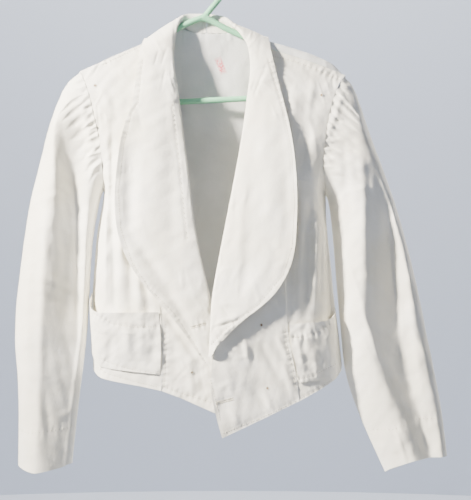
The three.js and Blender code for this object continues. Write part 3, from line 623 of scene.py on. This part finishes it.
for order, (name, folds) in enumerate(POCKET_FOLDS.items()):
    pocket = cut_cloth(name, 3)
    rumple(pocket, seed=80 + order, depth=0.7, size=20)
    pucker(pocket, POCKET_BANDS[name], 8, 0.9, 5, groove=0.7)
    pucker(pocket, POCKET_BOTTOMS[name], 8, 0.5, 5, groove=0.7)
    crinkle(pocket, seed=90 + order, count=26, depth=0.9)
    press_folds(pocket, deeper(folds, by=1.5))
    finish_cloth(pocket, name, white_twill)
    pockets[name] = pocket

# Sewing
# White cotton thread: single rows at the hems, the collar's edge and the pockets' bands and bottoms, and
# slanted hand stitches along the right lapel's roll. Each stitch lies on the cloth.
THREAD = 1.0
MACHINE = (0, 2.6, 1.4)
HEMMING = (0, 2.2, 3.4)
BY_HAND = (38, 4.2, 3.2)


def seat(piece):
    """A piece's surface, for laying small things on."""
    return BVHTree.FromPolygons(
        [vertex.co for vertex in piece.data.vertices], [face.vertices for face in piece.data.polygons]
    )


def lay_on(surface, x, z, behind=False):
    """The point and outward direction of the cloth at a place seen from the front or from behind."""
    start = Vector((x * MM, 0.3 if behind else -0.3, z * MM))
    hit, normal, _, _ = surface.ray_cast(start, Vector((0, -1 if behind else 1, 0)))
    return (hit, normal) if hit else (None, None)


bpy.ops.object.select_all(action="DESELECT")
bpy.ops.mesh.primitive_uv_sphere_add(segments=6, ring_count=4, radius=1, location=(0, 0, 0))
stitch_shape = bpy.context.object
stitch_points = np.array([tuple(vertex.co) for vertex in stitch_shape.data.vertices])
stitch_faces = [tuple(face.vertices) for face in stitch_shape.data.polygons]
bpy.data.objects.remove(stitch_shape)


def sewn_thread(name, rows, material):
    """One object of many stitches: each row is (piece, path, (slant in degrees, length, gap), behind)."""
    points = []
    faces = []
    for cloth, path, (slant, length, gap), behind in rows:
        for place, way in walk(path, length + gap):
            hit, normal = lay_on(surfaces[cloth], place.x, place.y, behind)
            if hit is None:
                continue
            turn = math.radians(slant)
            ahead = Vector((
                way.x * math.cos(turn) - way.y * math.sin(turn),
                0,
                way.x * math.sin(turn) + way.y * math.cos(turn),
            ))
            ahead = (ahead - normal * ahead.dot(normal)).normalized()
            beside = normal.cross(ahead)
            frame_of_stitch = np.array([
                tuple(ahead * length / 2 * MM),
                tuple(beside * THREAD / 2 * MM),
                tuple(normal * THREAD / 2 * MM),
            ])
            start = len(points)
            points.extend(stitch_points @ frame_of_stitch + np.array(tuple(hit + normal * 0.1 * MM)))
            faces.extend(tuple(index + start for index in face) for face in stitch_faces)
    mesh = bpy.data.meshes.new(name)
    mesh.from_pydata([tuple(point) for point in points], [], faces)
    mesh.validate()
    mesh.shade_smooth()
    thread = bpy.data.objects.new(name, mesh)
    bpy.context.scene.collection.objects.link(thread)
    mesh.materials.append(material)
    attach(thread, "root")
    return thread


def cotton_thread(name, colour):
    """Mercerised sewing cotton: three plies twisted, in the colour it is given."""
    material = bpy.data.materials.new(name)
    material.use_nodes = True
    tree = material.node_tree
    tree.nodes.clear()
    place = add_node(tree, "ShaderNodeTexCoord")
    twist = add_node(tree, "ShaderNodeTexNoise", [("Vector", place, "Object")], Scale=1500, Detail=2)
    twisted = add_node(tree, "ShaderNodeBump", [("Height", twist, "Fac")], Strength=0.3, Distance=0.0002)
    thread = add_node(tree, "ShaderNodeBsdfPrincipled", [("Normal", twisted, "Normal")],
                      Roughness=0.6, IOR=1.53)
    thread.inputs["Base Color"].default_value = linear(colour)
    add_node(tree, "ShaderNodeOutputMaterial", [("Surface", thread, "BSDF")])
    return material


# The white thread is drawn greyer than the white cloth: painted shade of the small pits where the stitches
# sink in.
white_thread_painted_shade = cotton_thread("white_sewing_cotton_painted_shade", "#d0cab8")
sewn = {**fronts, **collars, **sleeves, **pockets, "back": back}
surfaces = {name: seat(piece) for name, piece in sewn.items()}
seams = [(name, path, MACHINE, False) for name, paths in FRONT_SEWING.items() for path in paths]
seams += [(name, path, MACHINE, False) for name, path in COLLAR_TOPSTITCH.items()]
seams += [(name, path, MACHINE, False) for name, path in POCKET_BANDS.items()]
seams += [(name, path, MACHINE, False) for name, path in POCKET_BOTTOMS.items()]
seams += [(name, path, HEMMING, behind) for name, path in CUFF_HEMS.items() for behind in (False, True)]
seams += [
    ("collar_right", ROLL_STITCHES, BY_HAND, False),
    ("back", [(-170, -610), (-90, -616), (0, -618), (90, -616), (176, -610)], MACHINE, True),
]
sewn_thread("stitches", seams, white_thread_painted_shade)

# Buttonholes and eyelets
# The front closes with removable studs, so it has worked buttonholes in both halves and small round
# eyelets, edged with close stitches, with a brown disc in each middle as painted shade of the hole.
# A brown disc fills each eyelet's middle: painted shade of the hole.
eyelet_hole_painted_shade = cotton_thread("eyelet_hole_painted_shade", "#8a6a4c")
CLOSE_STITCHES = (90, 2.4, -1.3)
SLIT_SIDE = 1.4


def buttonhole(cloth, slit):
    """The rows of close stitches on both sides of a slit."""
    slit = [Vector(end) for end in slit]
    along = (slit[1] - slit[0]).normalized()
    across = Vector((-along.y, along.x))
    sides = [[tuple(end + across * shift) for end in slit] for shift in (-SLIT_SIDE, SLIT_SIDE)]
    return [(cloth, side, CLOSE_STITCHES, False) for side in sides]


buttonholes = buttonhole("collar_right", BUTTONHOLE_RIGHT)
buttonholes += buttonhole("front_centre_left", BUTTONHOLE_LEFT)
sewn_thread("buttonhole_edges", buttonholes, white_thread_painted_shade)

EYELETS = [
    ("front_side_right", -178, -187), ("front_side_left", 163, -202), ("front_centre_right", -31, -617),
    ("front_centre_left", 72, -546), ("front_centre_left", 81, -640),
]
for index, (name, x, z) in enumerate(EYELETS):
    hit, normal = lay_on(surfaces[name], x, z)
    if hit is None:
        continue
    turn = normal.to_track_quat("Z", "Y").to_euler()
    rim_place = hit + normal * 0.2 * MM
    bpy.ops.object.select_all(action="DESELECT")
    bpy.ops.mesh.primitive_torus_add(
        location=rim_place, rotation=turn, major_radius=1.9 * MM, minor_radius=0.55 * MM,
        major_segments=18, minor_segments=8,
    )
    rim = bpy.context.object
    rim.name = f"eyelet_{index + 1}"
    bpy.ops.object.transform_apply(location=True, rotation=True, scale=True)
    bpy.ops.object.shade_smooth()
    rim.data.materials.append(white_thread_painted_shade)
    bpy.ops.object.select_all(action="DESELECT")
    bpy.ops.mesh.primitive_cylinder_add(
        location=hit + normal * 0.12 * MM, rotation=turn, radius=1.4 * MM, depth=0.3 * MM, vertices=16,
    )
    middle = bpy.context.object
    middle.name = f"eyelet_middle_{index + 1}"
    bpy.ops.object.transform_apply(location=True, rotation=True, scale=True)
    middle.data.materials.append(eyelet_hole_painted_shade)
    for piece in (rim, middle):
        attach(piece, "root")

# Hanger
# One moulded tube of mint green plastic, smooth and slightly glossy, with a faint unevenness of the
# colour along it. Its shape is right as it is, so it is only made smoother.


def moulded_plastic(name, colour, deeper):
    """Polypropylene, blow moulded: a soft gloss and colour that is a little deeper in places."""
    material = bpy.data.materials.new(name)
    material.use_nodes = True
    tree = material.node_tree
    tree.nodes.clear()
    place = add_node(tree, "ShaderNodeTexCoord")
    cloud = add_node(tree, "ShaderNodeTexNoise", [("Vector", place, "Object")], Scale=22, Detail=3)
    shade = add_node(tree, "ShaderNodeValToRGB", [("Fac", cloud, "Fac")])
    shade.color_ramp.elements[0].color = linear(deeper)
    shade.color_ramp.elements[1].color = linear(colour)
    grain = add_node(tree, "ShaderNodeTexNoise", [("Vector", place, "Object")], Scale=260, Detail=3)
    uneven = add_node(tree, "ShaderNodeBump", [("Height", grain, "Fac")], Strength=0.12, Distance=0.0004)
    plastic = add_node(tree, "ShaderNodeBsdfPrincipled",
                       [("Base Color", shade, "Color"), ("Normal", uneven, "Normal")],
                       Roughness=0.34, IOR=1.49)
    plastic.inputs["Subsurface Weight"].default_value = 0.12
    plastic.inputs["Subsurface Radius"].default_value = (0.003, 0.004, 0.003)
    add_node(tree, "ShaderNodeOutputMaterial", [("Surface", plastic, "BSDF")])
    return material


hanger = cut_cloth("hanger", 1)
hanger.name = "hanger_tube"
hanger.data.materials.clear()
hanger.data.materials.append(moulded_plastic("mint_polypropylene", "#93d4ab", "#80c499"))
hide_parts("hanger")
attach(hanger, "root")

# Backdrop, light and camera
# A plain pale round wall and floor with their own lamps, a light from the far left in front, weak ones
# from the right, from above and from behind, and the camera level with the middle of the jacket.


def plain_paper(name, colour):
    """Matt paper of one colour."""
    material = bpy.data.materials.new(name)
    material.use_nodes = True
    shader = material.node_tree.nodes["Principled BSDF"]
    shader.inputs["Base Color"].default_value = linear(colour)
    shader.inputs["Roughness"].default_value = 0.9
    return material


FLOOR_HEIGHT = -1.35
WALL_RADIUS = 3.6
WALL_HEIGHT = 6
bpy.ops.object.select_all(action="DESELECT")
bpy.ops.mesh.primitive_cylinder_add(
    radius=WALL_RADIUS, depth=WALL_HEIGHT, vertices=96, end_fill_type="NOTHING",
    location=(0, 0, FLOOR_HEIGHT + WALL_HEIGHT / 2),
)
wall = bpy.context.object
wall.name = "backdrop"
bpy.ops.object.shade_smooth()
bpy.ops.mesh.primitive_plane_add(size=8, location=(0, 0, FLOOR_HEIGHT))
floor = bpy.context.object
floor.name = "floor"
for stage_piece, colour in ((wall, "#c6ccd8"), (floor, "#cdd1d8")):
    stage_piece.data.materials.append(plain_paper(stage_piece.name + "_paper", colour))


def soft_light(name, place, aim, size, power, colour, spread=180):
    """A square lamp that points at a place. Its spread is how wide its beam is, in degrees."""
    lamp = bpy.data.lights.new(name, "AREA")
    lamp.shape = "SQUARE"
    lamp.size = size
    lamp.energy = power
    lamp.color = linear(colour)[:3]
    lamp.spread = math.radians(spread)
    holder = bpy.data.objects.new(name, lamp)
    bpy.context.scene.collection.objects.link(holder)
    holder.location = place
    holder.rotation_euler = (Vector(aim) - Vector(place)).to_track_quat("-Z", "Y").to_euler()


MIDDLE = (0.034, 0, -0.42)
soft_light("key", (-2.1, -1.3, 0.85), MIDDLE, 0.3, 42, "#fff6e8", spread=50)
soft_light("fill", (1.6, -2.0, 0.1), MIDDLE, 1.8, 2, "#e6eeff")
soft_light("top", (0.1, -0.7, 1.6), MIDDLE, 1.4, 2, "#f2f6ff")
soft_light("behind", (1.7, 1.9, 0.8), MIDDLE, 0.5, 9, "#fff6e8", spread=50)
soft_light("wall_light", (0, 1.6, 3.0), (0, 3.6, -0.5), 1.5, 150, "#ffffff", spread=120)
soft_light("wall_light_in_front", (0, -1.6, 3.0), (0, -3.6, -0.5), 1.5, 35, "#ffffff", spread=120)
world = bpy.data.worlds.new("studio")
bpy.context.scene.world = world
world.use_nodes = True
world.node_tree.nodes["Background"].inputs["Color"].default_value = linear("#dfe6f2")
world.node_tree.nodes["Background"].inputs["Strength"].default_value = 0.05

CAMERA_AWAY = 2.4
CLOTH_IN_FRONT = 0.03
PICTURE_HEIGHT = 0.75
SENSOR = 36
camera_data = bpy.data.cameras.new("camera")
camera_data.sensor_width = SENSOR
camera_data.lens = SENSOR * (CAMERA_AWAY - CLOTH_IN_FRONT) / PICTURE_HEIGHT
camera = bpy.data.objects.new("camera", camera_data)
bpy.context.scene.collection.objects.link(camera)
camera.location = (0.03375, -CAMERA_AWAY, -0.435)
camera.rotation_euler = (math.radians(90), 0, 0)
bpy.context.scene.camera = camera
